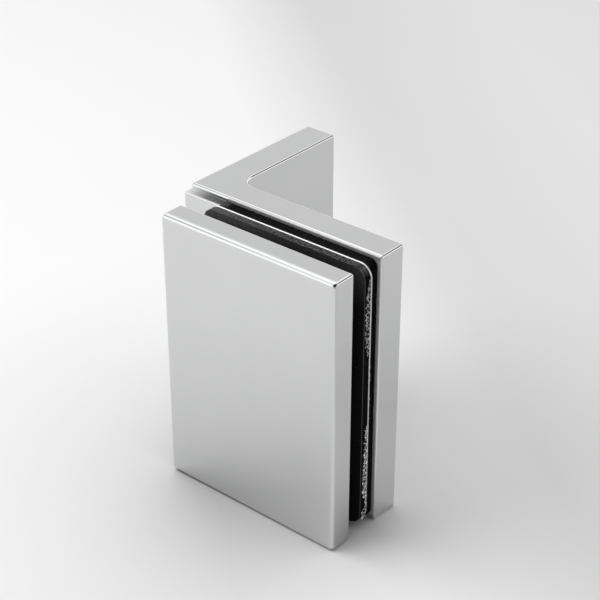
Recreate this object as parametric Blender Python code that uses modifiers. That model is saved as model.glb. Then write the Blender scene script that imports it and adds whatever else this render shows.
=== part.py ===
"""Wall-to-glass clamp: an L-shaped bracket, a clamp plate, three gaskets with a clear film, and two screws.

Frame: metres, +Z up. The origin is the middle of the wall face. +X runs out from the wall along the glass,
+Y runs back along the wall leg, and the clamp plate is at the front, towards -Y.
"""
from math import cos, pi, radians, sin, tan

import bmesh
import bpy

MM = 0.001

# Wall bracket: one chrome-plated casting.
bracket_height = 90 * MM
wall_leg_depth = 54 * MM
wall_leg_thickness = 11 * MM
glass_leg_length = 71 * MM
glass_leg_thickness = 10 * MM
inner_fillet = 5 * MM
bracket_edge_round = 0.6 * MM
step_width = 14.4 * MM
step_height = 3.1 * MM
step_setback = 1.6 * MM
step_edge_round = 0.5 * MM

# Wall screw holes, countersunk from the inside of the wall leg.
wall_hole_diameter = 6.6 * MM
wall_countersink_diameter = 11.5 * MM
wall_hole_spacing = 40 * MM
wall_hole_offset = 6 * MM

# Gaskets and film, stacked forward from the glass leg, and the slot that takes the glass.
seat_gap = 0.25 * MM
rear_gasket_end_setback = 1 * MM
rear_gasket_height_setback = 1.4 * MM
rear_gasket_corner = 2.5 * MM
film_thickness = 0.35 * MM
front_gasket_thickness = 2.5 * MM
front_gasket_start = 10.8 * MM
front_gasket_end_setback = 0.6 * MM
front_gasket_height_setback = 1.7 * MM
front_gasket_corner = 4 * MM
glass_slot = 4.5 * MM
plate_gasket_thickness = 0.8 * MM
plate_gasket_setback = 1.5 * MM
plate_gasket_corner = 3 * MM

# Clamp plate, with a threaded boss for each screw.
plate_width = 64 * MM
plate_height = 89.6 * MM
plate_thickness = 8 * MM
plate_start = 6.8 * MM
plate_edge_round = 0.6 * MM
boss_diameter = 10 * MM
boss_end_chamfer = 0.5 * MM
thread_depth_in_plate = 6 * MM
drill_point_angle = radians(118)

# Clamp screws: M6, countersunk, hexagon socket.
screw_spacing = 46 * MM
screw_diameter = 6 * MM
screw_length = 25 * MM
screw_head_diameter = 11.4 * MM
screw_head_rim = 0.3 * MM
screw_head_recess = 0.3 * MM
screw_tip_chamfer = 0.8 * MM
socket_across_flats = 4 * MM
socket_depth = 2.3 * MM
screw_clearance = 0.3 * MM

# Plastic sleeves that keep the glass off the bosses.
sleeve_wall = 1.6 * MM
sleeve_clearance = 0.3 * MM
sleeve_end_chamfer = 0.4 * MM

# Facets and cutting allowances.
corner_segments = 8
edge_segments = 4
round_segments = 40
weld_distance = 0.00001
cut_past = 1 * MM
boss_sink = 1 * MM
step_sink = 2 * MM

# Planes that follow from the sizes above, each in world Y.
glass_leg_front = -wall_leg_depth / 2
glass_leg_back = glass_leg_front + glass_leg_thickness
step_front = glass_leg_front - step_height
rear_gasket_back = glass_leg_front - seat_gap
rear_gasket_front = step_front
film_back = rear_gasket_front - seat_gap
film_front = film_back - film_thickness
front_gasket_back = film_front - seat_gap
front_gasket_front = front_gasket_back - front_gasket_thickness
plate_gasket_back = front_gasket_front - glass_slot
plate_gasket_front = plate_gasket_back - plate_gasket_thickness
plate_back = plate_gasket_front - seat_gap
plate_front = plate_back - plate_thickness

# Places along X, and the two screw heights.
rear_gasket_start = step_width + seat_gap
rear_gasket_end = glass_leg_length - rear_gasket_end_setback
front_gasket_end = glass_leg_length - front_gasket_end_setback
plate_end = plate_start + plate_width
screw_x = plate_start + plate_width / 2
screw_heights = {"upper": screw_spacing / 2, "lower": -screw_spacing / 2}
wall_hole_heights = {"upper": wall_hole_spacing / 2, "lower": -wall_hole_spacing / 2}

# Radii that follow from the fits.
screw_radius = screw_diameter / 2
screw_hole_radius = screw_radius + screw_clearance
screw_head_radius = screw_head_diameter / 2
boss_radius = boss_diameter / 2
sleeve_bore_radius = boss_radius + sleeve_clearance
sleeve_radius = sleeve_bore_radius + sleeve_wall
boss_end = front_gasket_back - seat_gap
boss_length = boss_end - plate_back
sleeve_seat = plate_back + seat_gap


def clear_scene():
    for obj in list(bpy.data.objects):
        bpy.data.objects.remove(obj, do_unlink=True)


def new_collection(name):
    collection = bpy.data.collections.new(name)
    bpy.context.scene.collection.children.link(collection)
    return collection


def finish_material(name, colour, roughness, metallic=0.0, alpha=1.0):
    material = bpy.data.materials.new(name)
    material.use_nodes = True
    shader = material.node_tree.nodes["Principled BSDF"]
    shader.inputs["Base Color"].default_value = (*colour, 1.0)
    shader.inputs["Roughness"].default_value = roughness
    shader.inputs["Metallic"].default_value = metallic
    shader.inputs["Alpha"].default_value = alpha
    return material


def add_object(name, data, collection, location=(0, 0, 0), rotation=(0, 0, 0)):
    obj = bpy.data.objects.new(name, data)
    collection.objects.link(obj)
    obj.location = location
    obj.rotation_euler = rotation
    return obj


def make_cutter(obj):
    obj.hide_render = True
    obj.display_type = "WIRE"
    return obj


def arc(centre_x, centre_y, radius, start, end):
    """Points of a round corner, from the start angle to the end angle in degrees."""
    points = []
    for step in range(corner_segments + 1):
        angle = radians(start + (end - start) * step / corner_segments)
        points.append((centre_x + radius * cos(angle), centre_y + radius * sin(angle)))
    return points


def circle(centre_x, centre_y, radius):
    points = []
    for step in range(round_segments):
        angle = 2 * pi * step / round_segments
        points.append((centre_x + radius * cos(angle), centre_y + radius * sin(angle)))
    return points


def flat_solid(name, outlines, thickness, collection, location=(0, 0, 0), rotation=(0, 0, 0)):
    """A flat outline, with any holes in it, thickened to both sides of its own plane."""
    curve = bpy.data.curves.new(name + "_outline", "CURVE")
    curve.dimensions = "2D"
    curve.fill_mode = "BOTH"
    curve.extrude = thickness / 2
    for outline in outlines:
        spline = curve.splines.new("POLY")
        spline.points.add(len(outline) - 1)
        for point, (x, y) in zip(spline.points, outline):
            point.co = (x, y, 0, 1)
        spline.use_cyclic_u = True
    guide = add_object(name + "_outline", curve, collection, location, rotation)
    bpy.context.view_layer.update()
    evaluated = guide.evaluated_get(bpy.context.evaluated_depsgraph_get())
    mesh = bpy.data.meshes.new_from_object(evaluated)
    mesh.name = name
    weld = bmesh.new()
    weld.from_mesh(mesh)
    bmesh.ops.remove_doubles(weld, verts=weld.verts, dist=weld_distance)
    weld.to_mesh(mesh)
    weld.free()
    solid = add_object(name, mesh, collection)
    solid.matrix_world = guide.matrix_world.copy()
    bpy.data.objects.remove(guide, do_unlink=True)
    return solid


def block(name, low, high, collection):
    """A box between two corners, with its origin at its middle."""
    size = [high[axis] - low[axis] for axis in range(3)]
    middle = [(high[axis] + low[axis]) / 2 for axis in range(3)]
    mesh = bpy.data.meshes.new(name)
    cube = bmesh.new()
    bmesh.ops.create_cube(cube, size=1)
    bmesh.ops.scale(cube, vec=size, verts=cube.verts)
    cube.to_mesh(mesh)
    cube.free()
    return add_object(name, mesh, collection, middle)


def turned(name, profile, collection, location, rotation, closed=False):
    """A profile of (radius, height) points, top to bottom down its outer side, turned about local Z."""
    mesh = bpy.data.meshes.new(name)
    edges = [(index, index + 1) for index in range(len(profile) - 1)]
    if closed:
        edges.append((len(profile) - 1, 0))
    mesh.from_pydata([(radius, 0, level) for radius, level in profile], edges, [])
    obj = add_object(name, mesh, collection, location, rotation)
    spin = obj.modifiers.new("turn", "SCREW")
    spin.steps = round_segments
    spin.render_steps = round_segments
    spin.use_merge_vertices = True
    spin.merge_threshold = weld_distance
    spin.use_smooth_shade = False
    return obj


def cut(target, cutter, operation="DIFFERENCE"):
    modifier = target.modifiers.new(operation.lower() + "_" + cutter.name, "BOOLEAN")
    modifier.operation = operation
    modifier.solver = "EXACT"
    modifier.object = cutter
    make_cutter(cutter)


def round_edges(target, radius):
    bevel = target.modifiers.new("edge_round", "BEVEL")
    bevel.width = radius
    bevel.segments = edge_segments
    bevel.limit_method = "ANGLE"
    bevel.angle_limit = radians(30)


def rounded_panel(left, right, half_height, left_corner, right_corner):
    """Outline in X and Z, with one radius for its left corners and one for its right."""
    points = []
    corners = [
        (right, -half_height, right_corner, -1, 1, 270),
        (right, half_height, right_corner, -1, -1, 0),
        (left, half_height, left_corner, 1, -1, 90),
        (left, -half_height, left_corner, 1, 1, 180),
    ]
    for x, z, radius, inward_x, inward_z, start in corners:
        if radius:
            points.extend(arc(x + inward_x * radius, z + inward_z * radius, radius, start, start + 90))
        else:
            points.append((x, z))
    return points


def panel(name, outline, hole_radius, back, front, collection, material):
    """A sheet that stands across Y between two planes, with a hole for each screw."""
    outlines = [outline]
    for height in screw_heights.values():
        outlines.append(circle(screw_x, height, hole_radius))
    sheet = flat_solid(name, outlines, back - front, collection, (0, (back + front) / 2, 0), (pi / 2, 0, 0))
    sheet.data.materials.append(material)
    return sheet


def wall_bracket(parts, cutters, chrome):
    """The rounded L section with its raised step, drilled for the wall screws and the clamp screws."""
    wall_leg_end = wall_leg_depth / 2
    section = [
        (0, glass_leg_front),
        (glass_leg_length, glass_leg_front),
        (glass_leg_length, glass_leg_back),
    ]
    section += arc(wall_leg_thickness + inner_fillet, glass_leg_back + inner_fillet, inner_fillet, 270, 180)
    section += [(wall_leg_thickness, wall_leg_end), (0, wall_leg_end)]
    bracket = flat_solid("wall_bracket", [section], bracket_height, parts)
    bracket.data.materials.append(chrome)

    round_edges(bracket, bracket_edge_round)

    step_half_height = bracket_height / 2 - step_setback
    low = (0, step_front, -step_half_height)
    high = (step_width, glass_leg_front + step_sink, step_half_height)
    step = block("front_step", low, high, cutters)
    round_edges(step, step_edge_round)
    cut(bracket, step, "UNION")

    countersink_radius = wall_countersink_diameter / 2
    hole_radius = wall_hole_diameter / 2
    cone_depth = countersink_radius - hole_radius
    wall_hole = [
        (0, wall_leg_thickness + cut_past),
        (countersink_radius + cut_past, wall_leg_thickness + cut_past),
        (hole_radius, wall_leg_thickness - cone_depth),
        (hole_radius, -cut_past),
        (0, -cut_past),
    ]
    for side, height in wall_hole_heights.items():
        place = (0, wall_hole_offset, height)
        cut(bracket, turned("wall_hole_" + side, wall_hole, cutters, place, (0, pi / 2, 0)))

    seat_radius = screw_head_radius + screw_clearance
    rim_depth = screw_head_recess + screw_head_rim
    screw_hole = [
        (0, cut_past),
        (seat_radius, cut_past),
        (seat_radius, -rim_depth),
        (screw_hole_radius, -rim_depth - (seat_radius - screw_hole_radius)),
        (screw_hole_radius, -glass_leg_thickness - cut_past),
        (0, -glass_leg_thickness - cut_past),
    ]
    for side, height in screw_heights.items():
        place = (screw_x, glass_leg_back, height)
        cut(bracket, turned("screw_hole_" + side, screw_hole, cutters, place, (-pi / 2, 0, 0)))
    return bracket


def gaskets_and_film(parts, rubber, clear_film):
    rear_half = bracket_height / 2 - rear_gasket_height_setback
    rear = rounded_panel(rear_gasket_start, rear_gasket_end, rear_half, 0, rear_gasket_corner)
    panel("rear_gasket", rear, screw_hole_radius, rear_gasket_back, rear_gasket_front, parts, rubber)

    front_half = bracket_height / 2 - front_gasket_height_setback
    front = rounded_panel(
        front_gasket_start, front_gasket_end, front_half, front_gasket_corner, front_gasket_corner
    )
    film_hole = screw_hole_radius
    panel("liner_film", front, film_hole, film_back, film_front, parts, clear_film)
    sleeve_hole = sleeve_radius + sleeve_clearance
    panel("front_gasket", front, sleeve_hole, front_gasket_back, front_gasket_front, parts, rubber)

    plate_half = plate_height / 2 - plate_gasket_setback
    plate = rounded_panel(
        plate_start + plate_gasket_setback,
        plate_end - plate_gasket_setback,
        plate_half,
        plate_gasket_corner,
        plate_gasket_corner,
    )
    panel("plate_gasket", plate, sleeve_hole, plate_gasket_back, plate_gasket_front, parts, rubber)


def clamp_plate(parts, cutters, chrome):
    """The plain front plate, with a blind threaded boss behind it for each screw."""
    low = (plate_start, plate_front, -plate_height / 2)
    high = (plate_end, plate_back, plate_height / 2)
    plate = block("clamp_plate", low, high, parts)
    plate.data.materials.append(chrome)
    round_edges(plate, plate_edge_round)

    boss = [
        (0, boss_length),
        (boss_radius - boss_end_chamfer, boss_length),
        (boss_radius, boss_length - boss_end_chamfer),
        (boss_radius, -boss_sink),
        (0, -boss_sink),
    ]
    drill_point = screw_hole_radius / tan(drill_point_angle / 2)
    bore = [
        (0, boss_length + cut_past),
        (screw_hole_radius, boss_length + cut_past),
        (screw_hole_radius, -thread_depth_in_plate),
        (0, -thread_depth_in_plate - drill_point),
    ]
    places = {side: (screw_x, plate_back, height) for side, height in screw_heights.items()}
    for side, place in places.items():
        cut(plate, turned("boss_" + side, boss, cutters, place, (-pi / 2, 0, 0)), "UNION")
    for side, place in places.items():
        cut(plate, turned("boss_bore_" + side, bore, cutters, place, (-pi / 2, 0, 0)))
    return plate


def clamp_screws(parts, cutters, steel):
    """Countersunk socket screws, each with its origin on its own axis at the top of its head."""
    head_taper = screw_head_radius - screw_radius
    profile = [
        (0, 0),
        (screw_head_radius, 0),
        (screw_head_radius, -screw_head_rim),
        (screw_radius, -screw_head_rim - head_taper),
        (screw_radius, -screw_length + screw_tip_chamfer),
        (screw_radius - screw_tip_chamfer, -screw_length),
        (0, -screw_length),
    ]
    socket_radius = socket_across_flats / 2 / cos(pi / 6)
    for side, height in screw_heights.items():
        place = (screw_x, glass_leg_back - screw_head_recess, height)
        screw = turned("clamp_screw_" + side, profile, parts, place, (-pi / 2, 0, 0))
        screw.data.materials.append(steel)
        mesh = bpy.data.meshes.new("socket_" + side)
        hexagon = bmesh.new()
        bmesh.ops.create_cone(
            hexagon,
            cap_ends=True,
            segments=6,
            radius1=socket_radius,
            radius2=socket_radius,
            depth=2 * socket_depth,
        )
        hexagon.to_mesh(mesh)
        hexagon.free()
        cut(screw, add_object("socket_" + side, mesh, cutters, place, (-pi / 2, 0, 0)))


def boss_sleeves(parts, nylon):
    """Plain tubes over the bosses, standing on the plate and reaching through both gaskets."""
    length = boss_end - sleeve_seat
    inner = sleeve_bore_radius
    outer = sleeve_radius
    profile = [
        (inner, length),
        (outer - sleeve_end_chamfer, length),
        (outer, length - sleeve_end_chamfer),
        (outer, sleeve_end_chamfer),
        (outer - sleeve_end_chamfer, 0),
        (inner, 0),
    ]
    for side, height in screw_heights.items():
        place = (screw_x, sleeve_seat, height)
        sleeve = turned("boss_sleeve_" + side, profile, parts, place, (-pi / 2, 0, 0), closed=True)
        sleeve.data.materials.append(nylon)


def build():
    clear_scene()
    parts = new_collection("glass_clamp")
    cutters = new_collection("glass_clamp_cutters")
    chrome = finish_material("polished_chrome", (0.78, 0.79, 0.8), 0.08, metallic=1.0)
    rubber = finish_material("black_rubber", (0.012, 0.012, 0.013), 0.6)
    clear_film = finish_material("clear_film", (0.8, 0.82, 0.83), 0.15, alpha=0.6)
    steel = finish_material("screw_steel", (0.55, 0.56, 0.57), 0.3, metallic=1.0)
    nylon = finish_material("white_nylon", (0.75, 0.75, 0.72), 0.45)
    wall_bracket(parts, cutters, chrome)
    gaskets_and_film(parts, rubber, clear_film)
    clamp_plate(parts, cutters, chrome)
    clamp_screws(parts, cutters, steel)
    boss_sleeves(parts, nylon)


build()
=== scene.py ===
"""Looks of the wall-to-glass clamp: chrome, die-cut rubber, crinkled clear film, steel and nylon.

Metres, in the part's own frame: +X out along the glass, +Y back along the wall leg, +Z up, with the
origin at the middle of the wall face.
"""
from math import ceil, cos, pi, radians, sin, tan

import bmesh
import bpy
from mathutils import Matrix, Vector, noise


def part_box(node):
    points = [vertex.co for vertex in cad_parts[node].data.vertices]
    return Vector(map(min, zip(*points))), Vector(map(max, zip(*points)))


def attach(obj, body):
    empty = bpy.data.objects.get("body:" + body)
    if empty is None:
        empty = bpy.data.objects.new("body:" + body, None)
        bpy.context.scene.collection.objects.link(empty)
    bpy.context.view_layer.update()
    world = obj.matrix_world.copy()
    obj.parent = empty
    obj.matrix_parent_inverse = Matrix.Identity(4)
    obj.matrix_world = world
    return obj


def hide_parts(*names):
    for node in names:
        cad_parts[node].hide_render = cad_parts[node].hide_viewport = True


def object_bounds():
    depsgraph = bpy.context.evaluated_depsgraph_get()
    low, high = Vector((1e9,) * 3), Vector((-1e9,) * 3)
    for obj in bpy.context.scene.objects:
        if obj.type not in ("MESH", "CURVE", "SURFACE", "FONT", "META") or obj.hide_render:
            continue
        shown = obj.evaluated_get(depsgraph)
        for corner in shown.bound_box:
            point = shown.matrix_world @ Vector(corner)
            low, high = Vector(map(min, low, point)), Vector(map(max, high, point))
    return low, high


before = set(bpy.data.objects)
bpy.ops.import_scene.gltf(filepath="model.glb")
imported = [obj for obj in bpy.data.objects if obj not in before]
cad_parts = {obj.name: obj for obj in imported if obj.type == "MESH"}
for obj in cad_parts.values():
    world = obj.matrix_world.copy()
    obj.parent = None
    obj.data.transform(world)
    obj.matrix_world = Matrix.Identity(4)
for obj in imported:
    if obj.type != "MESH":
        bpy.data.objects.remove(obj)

cad_low, cad_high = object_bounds()

MM = 0.001

# Rounds, bores and fits that the boxes of the pieces don't tell. A share is a part of the full round.
inner_fillet = 5 * MM
bracket_edge_round = 0.9 * MM
bracket_side_share = 0.78
step_edge_round = 0.55 * MM
plate_edge_round = 2.8 * MM
plate_edge_fullness = 0.74
plate_upright_share = 0.75
plate_side_share = 0.58
plate_back_share = 0.3
plate_corner_round = 1.35 * MM
glass_leg_thickness = 10 * MM
wall_leg_thickness = 11 * MM
step_width = 14.4 * MM
step_setback = 1.6 * MM
step_sink = 2 * MM
wall_hole_radius = 3.3 * MM
wall_countersink_radius = 5.75 * MM
wall_hole_spacing = 40 * MM
wall_hole_offset = 6 * MM
screw_hole_radius = 3.3 * MM
screw_seat_radius = 6 * MM
screw_head_recess = 0.3 * MM
screw_head_rim = 0.3 * MM
sleeve_hole_radius = 7.2 * MM
rear_gasket_corner = 2.5 * MM
rear_shrink = 0.3 * MM
front_gasket_corner = 4 * MM
plate_gasket_corner = 3 * MM
rubber_edge_round = 0.22 * MM
film_cut_slant = 0.35
edge_band = 1 * MM
boss_radius = 5 * MM
boss_end_chamfer = 0.5 * MM
thread_depth_in_plate = 6 * MM
drill_point_angle = radians(118)
sleeve_bore_radius = 5.3 * MM
sleeve_end_round = 0.4 * MM

# The film's crushed edge: how far it reaches forward at each height, how it stands off the rubber, and how
# it is crushed. A grain is in turns of the noise per metre.
fold_widths = (
    (-41 * MM, 2.3 * MM),
    (-38.5 * MM, 2.2 * MM),
    (-36.5 * MM, 0.8 * MM),
    (-34 * MM, 1.9 * MM),
    (-28 * MM, 2.4 * MM),
    (-23 * MM, 2.3 * MM),
    (-17 * MM, 2.0 * MM),
    (-9 * MM, 1.5 * MM),
    (-6.5 * MM, 0.3 * MM),
    (13 * MM, 0.3 * MM),
    (15 * MM, 1.5 * MM),
    (20 * MM, 2.5 * MM),
    (28 * MM, 2.6 * MM),
    (36 * MM, 2.2 * MM),
    (39 * MM, 1.5 * MM),
    (40.5 * MM, 0.5 * MM),
)
fold_low = fold_widths[0][0]
fold_high = fold_widths[-1][0]
fold_clearance = 0.05 * MM
fold_depth = 0.5 * MM
fold_reach = 0.55 * MM
fold_overlap = 0.1 * MM
fold_rows = 420
fold_columns = 14
fold_lift_share = 0.25
crush_grain = 1300.0
crush_grain_up = 0.7
ragged_grain = 1500.0
ragged_share = 0.25

# The screws' thread, head and socket.
screw_radius = 3 * MM
thread_pitch = 1 * MM
thread_depth = 0.54 * MM
thread_start = 6.4 * MM
thread_crest_share = 0.12
thread_flank_share = 0.7
screw_tip_chamfer = 0.8 * MM
socket_across_flats = 4 * MM
socket_depth = 2.3 * MM
socket_mouth_chamfer = 0.2 * MM

# How finely curved faces are divided, and how far cutters run past what they cut.
round_steps = 96
corner_steps = 24
fillet_steps = 32
edge_steps = 12
step_edge_steps = 8
rubber_edge_steps = 3
sleeve_end_steps = 6
screw_steps = 48
thread_rows_per_pitch = 8
cut_past = 1 * MM
boss_sink = 1 * MM
weld_distance = 0.001 * MM
flat_within = radians(0.5)
square_within = 0.99999

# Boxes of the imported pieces.
bracket_low, bracket_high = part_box("wall_bracket")
plate_low, plate_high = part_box("clamp_plate")
rear_low, rear_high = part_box("rear_gasket")
film_low, film_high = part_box("liner_film")
front_low, front_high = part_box("front_gasket")
plate_gasket_low, plate_gasket_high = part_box("plate_gasket")

# Planes and axes that follow from the boxes.
glass_leg_front = -(bracket_high.y)
glass_leg_back = glass_leg_front + glass_leg_thickness
step_front = bracket_low.y
screw_axes = {}
for side in ("upper", "lower"):
    head_low, head_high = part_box("clamp_screw_" + side)
    screw_axes[side] = ((head_low.x + head_high.x) / 2, (head_low.z + head_high.z) / 2)
screw_top = head_high.y
screw_tip = head_low.y
screw_head_radius = (head_high.x - head_low.x) / 2
sleeve_low, sleeve_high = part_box("boss_sleeve_upper")
plate_gap = 0.25 * MM
plate_back = plate_gasket_low.y - plate_gap


# Meshes

def add_piece(name, mesh):
    obj = bpy.data.objects.new(name, mesh)
    bpy.context.scene.collection.objects.link(obj)
    return obj


def settle(obj, *cutters):
    """Replaces a piece's mesh by what its modifiers make of it, and removes its cutters."""
    bpy.context.view_layer.update()
    graph = bpy.context.evaluated_depsgraph_get()
    made = bpy.data.meshes.new_from_object(obj.evaluated_get(graph), depsgraph=graph)
    made.name = obj.name
    obj.modifiers.clear()
    obj.data = made
    for cutter in cutters:
        bpy.data.objects.remove(cutter, do_unlink=True)
    return obj


def corner_arc(centre_x, centre_y, radius, start, end, steps):
    points = []
    for step in range(steps + 1):
        angle = radians(start + (end - start) * step / steps)
        points.append((centre_x + radius * cos(angle), centre_y + radius * sin(angle)))
    return points


def ring(centre_x, centre_y, radius, steps):
    return corner_arc(centre_x, centre_y, radius, 0, 360 * (steps - 1) / steps, steps - 1)


def cut_sheet(name, outlines, low, high, upright):
    """A flat outline with its holes, thick from low to high in Y if it stands upright, otherwise in Z."""
    curve = bpy.data.curves.new(name, "CURVE")
    curve.dimensions = "2D"
    curve.fill_mode = "BOTH"
    curve.extrude = (high - low) / 2
    for outline in outlines:
        spline = curve.splines.new("POLY")
        spline.points.add(len(outline) - 1)
        for point, (across, along) in zip(spline.points, outline):
            point.co = (across, along, 0, 1)
        spline.use_cyclic_u = True
    pattern = add_piece(name + "_pattern", curve)
    middle = (high + low) / 2
    if upright:
        pattern.location = (0, middle, 0)
        pattern.rotation_euler = (pi / 2, 0, 0)
    else:
        pattern.location = (0, 0, middle)
    bpy.context.view_layer.update()
    graph = bpy.context.evaluated_depsgraph_get()
    mesh = bpy.data.meshes.new_from_object(pattern.evaluated_get(graph), depsgraph=graph)
    mesh.transform(pattern.matrix_world)
    bpy.data.objects.remove(pattern, do_unlink=True)
    sheet = bmesh.new()
    sheet.from_mesh(mesh)
    bmesh.ops.remove_doubles(sheet, verts=sheet.verts, dist=weld_distance)
    bmesh.ops.dissolve_limit(sheet, angle_limit=flat_within, verts=sheet.verts, edges=sheet.edges)
    bmesh.ops.recalc_face_normals(sheet, faces=sheet.faces)
    sheet.to_mesh(mesh)
    sheet.free()
    return add_piece(name, mesh)


def box_block(name, low, high):
    mesh = bpy.data.meshes.new(name)
    cube = bmesh.new()
    bmesh.ops.create_cube(cube, size=1)
    size = [high[axis] - low[axis] for axis in range(3)]
    middle = [(high[axis] + low[axis]) / 2 for axis in range(3)]
    bmesh.ops.scale(cube, vec=size, verts=cube.verts)
    bmesh.ops.translate(cube, vec=middle, verts=cube.verts)
    cube.to_mesh(mesh)
    cube.free()
    return add_piece(name, mesh)


def turned_solid(name, profile, base, direction):
    """A closed profile of (radius, distance) points turned about an axis that starts at base."""
    axis = Vector(direction).normalized()
    side = axis.orthogonal().normalized()
    across = axis.cross(side)
    mesh = bpy.data.meshes.new(name)
    lathe = bmesh.new()
    rings = []
    for radius, distance in profile:
        centre = Vector(base) + axis * distance
        if radius < weld_distance:
            rings.append([lathe.verts.new(centre)])
            continue
        turned = []
        for step in range(round_steps):
            angle = 2 * pi * step / round_steps
            turned.append(lathe.verts.new(centre + (side * cos(angle) + across * sin(angle)) * radius))
        rings.append(turned)
    for first, second in zip(rings, rings[1:] + rings[:1]):
        if len(first) == 1 and len(second) == 1:
            continue
        for step in range(round_steps):
            follow = (step + 1) % round_steps
            corners = [first[step % len(first)], first[follow % len(first)]]
            corners += [second[follow % len(second)], second[step % len(second)]]
            lathe.faces.new(list(dict.fromkeys(corners)))
    bmesh.ops.recalc_face_normals(lathe, faces=lathe.faces)
    lathe.to_mesh(mesh)
    lathe.free()
    return add_piece(name, mesh)


def boolean(target, tool, operation="DIFFERENCE"):
    step = target.modifiers.new(operation.lower(), "BOOLEAN")
    step.operation = operation
    step.solver = "EXACT"
    step.object = tool
    return tool


def share_edges(target, share_of, sharper_than=30):
    """Gives each sharp edge of a block its own share of the full round."""
    block = bmesh.new()
    block.from_mesh(target.data)
    shares = block.edges.layers.float.new("bevel_weight_edge")
    for edge in block.edges:
        start, end = [vertex.co for vertex in edge.verts]
        if edge.calc_face_angle(0) > radians(sharper_than):
            edge[shares] = share_of((start + end) / 2, (end - start).normalized())
    block.to_mesh(target.data)
    block.free()


def ease_edges(target, radius, steps, fullness=0.5, sharper_than=30, shared=False):
    """Rounds the sharp edges. A fullness over a half keeps the round nearer the corner."""
    bevel = target.modifiers.new("eased edges", "BEVEL")
    bevel.width = radius
    bevel.profile = fullness
    bevel.segments = steps
    bevel.limit_method = "WEIGHT" if shared else "ANGLE"
    bevel.angle_limit = radians(sharper_than)


def ball_corners(target, low, high, radius):
    """Draws a block's front corners in towards a ball, as a buffing wheel wears them."""
    middle = (low + high) / 2
    for vertex in target.data.vertices:
        right = 1 if vertex.co.x > middle.x else -1
        up = 1 if vertex.co.z > middle.z else -1
        centre = Vector((
            (high.x if right > 0 else low.x) - right * radius,
            low.y + radius,
            (high.z if up > 0 else low.z) - up * radius,
        ))
        offset = vertex.co - centre
        within = min(offset.x * right, -offset.y, offset.z * up) / (radius / 2)
        if within > 0 and offset.length > radius:
            ball = centre + offset * (radius / offset.length)
            vertex.co = vertex.co.lerp(ball, min(within, 1))


def polish_normals(obj, blend_angle=40):
    """Flat faces stay truly flat, and rounds run into them without a break, as on a buffed casting."""
    mesh = obj.data
    mesh.shade_smooth()
    limit = cos(radians(blend_angle))
    flats = {}
    rounds = {}
    for face in mesh.polygons:
        normal = face.normal.copy()
        is_flat = max(abs(part) for part in normal) > square_within
        for vertex in face.vertices:
            if is_flat:
                known = flats.setdefault(vertex, [])
                if all(normal.dot(other) < square_within for other in known):
                    known.append(normal)
            else:
                rounds.setdefault(vertex, []).append((normal, face.area))
    loop_normals = [None] * len(mesh.loops)
    for face in mesh.polygons:
        normal = face.normal.copy()
        is_flat = max(abs(part) for part in normal) > square_within
        for loop in face.loop_indices:
            vertex = mesh.loops[loop].vertex_index
            near = [flat for flat in flats.get(vertex, []) if flat.dot(normal) > limit]
            if is_flat:
                loop_normals[loop] = normal
            elif near:
                loop_normals[loop] = near[0]
            else:
                total = Vector((0, 0, 0))
                for other, area in rounds[vertex]:
                    if other.dot(normal) > limit:
                        total += other * area
                loop_normals[loop] = total.normalized()
    mesh.normals_split_custom_set(loop_normals)
    return obj


# The clamp's pieces

def runs_across(along):
    return abs(along.x) > 0.5


def bracket_edge_share(middle, along):
    """The glass leg's long front edges are rounded most."""
    if middle.y < glass_leg_front + edge_band and runs_across(along):
        return 1.0
    return bracket_side_share


def wall_bracket():
    """One casting: wall leg, glass leg, the filleted corner between them, and the raised step in front."""
    section = [
        (bracket_low.x, glass_leg_front),
        (bracket_high.x, glass_leg_front),
        (bracket_high.x, glass_leg_back),
    ]
    fillet_x = wall_leg_thickness + inner_fillet
    fillet_y = glass_leg_back + inner_fillet
    section += corner_arc(fillet_x, fillet_y, inner_fillet, 270, 180, fillet_steps)
    section += [(wall_leg_thickness, bracket_high.y), (bracket_low.x, bracket_high.y)]
    casting = cut_sheet("bracket_casting", [section], bracket_low.z, bracket_high.z, False)
    share_edges(casting, bracket_edge_share)
    ease_edges(casting, bracket_edge_round, edge_steps, shared=True)
    step_low = (bracket_low.x, step_front, bracket_low.z + step_setback)
    step_high = (step_width, glass_leg_front + step_sink, bracket_high.z - step_setback)
    step = box_block("step", step_low, step_high)
    ease_edges(step, step_edge_round, step_edge_steps)
    tools = [boolean(casting, step, "UNION")]

    cone_depth = wall_countersink_radius - wall_hole_radius
    wall_hole = [
        (0, -cut_past),
        (wall_hole_radius, -cut_past),
        (wall_hole_radius, wall_leg_thickness - cone_depth),
        (wall_countersink_radius + cut_past, wall_leg_thickness + cut_past),
        (0, wall_leg_thickness + cut_past),
    ]
    for height in (wall_hole_spacing / 2, -wall_hole_spacing / 2):
        place = (bracket_low.x, wall_hole_offset, height)
        tools.append(boolean(casting, turned_solid("wall_hole", wall_hole, place, (1, 0, 0))))

    rim_depth = screw_head_recess + screw_head_rim
    screw_hole = [
        (0, -cut_past),
        (screw_seat_radius, -cut_past),
        (screw_seat_radius, rim_depth),
        (screw_hole_radius, rim_depth + screw_seat_radius - screw_hole_radius),
        (screw_hole_radius, glass_leg_thickness + cut_past),
        (0, glass_leg_thickness + cut_past),
    ]
    for across, height in screw_axes.values():
        place = (across, glass_leg_back, height)
        tools.append(boolean(casting, turned_solid("screw_hole", screw_hole, place, (0, -1, 0))))
    settle(casting, *tools)
    return polish_normals(casting)


def plate_edge_share(middle, along):
    """Full rounds on the front's top and bottom edges, less on its upright edges, least on the back."""
    if middle.y > plate_back - edge_band:
        return plate_back_share
    if middle.y < plate_low.y + edge_band:
        return 1.0 if runs_across(along) else plate_upright_share
    return plate_side_share


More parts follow.
